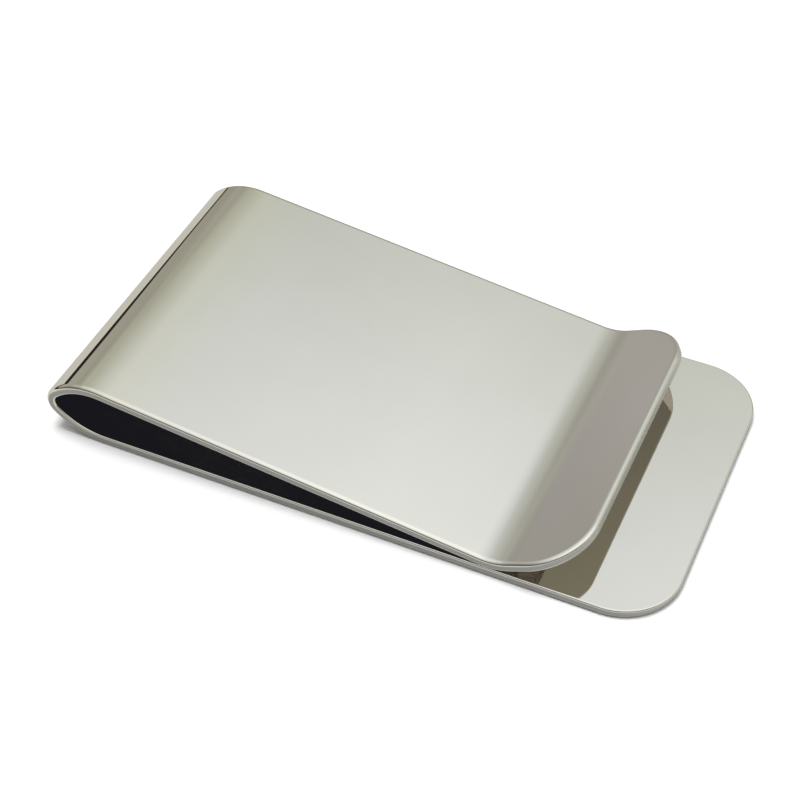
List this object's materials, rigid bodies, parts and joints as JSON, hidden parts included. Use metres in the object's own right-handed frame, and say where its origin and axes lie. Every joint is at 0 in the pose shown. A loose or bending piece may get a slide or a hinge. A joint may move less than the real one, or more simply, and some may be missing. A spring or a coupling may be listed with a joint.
{
  "type": "money clip",
  "caption": "Spring money clip: a polished steel strip folded into two leaves, with a sprung front leaf that pinches folded notes and turns up into a thumb lip.",
  "frame": {"origin": "under the middle of the clip, in the plane of the back leaf's outer face, which it rests on", "axes": "+X along the clip from the fold to the open end with the lip, +Y across the strip, +Z from the back leaf up to the front leaf"},
  "size_m": [0.0512, 0.028, 0.0057],
  "materials": {
    "polished_steel": "mirror-polished spring stainless steel with fine handling scratches, and satin edges with a polished rounding"
  },
  "bodies": {
    "back": {"back_leaf": "polished_steel", "heel_curve": "polished_steel", "spring_fold": "polished_steel"},
    "front": {"shoulder_curve": "polished_steel", "front_leaf": "polished_steel", "pressure_bend": "polished_steel", "thumb_lip": "polished_steel"}
  },
  "joints": [
    {"name": "clip_open", "type": "hinge", "parent": "back", "child": "front", "pos_m": [-0.024, 0, 0.00299], "axis": [0, -1, 0], "range_deg": [0, 10], "stiffness_Nm_per_rad": 8.1, "springref_deg": -0.57, "deforming": ["spring_fold"]}
  ]
}
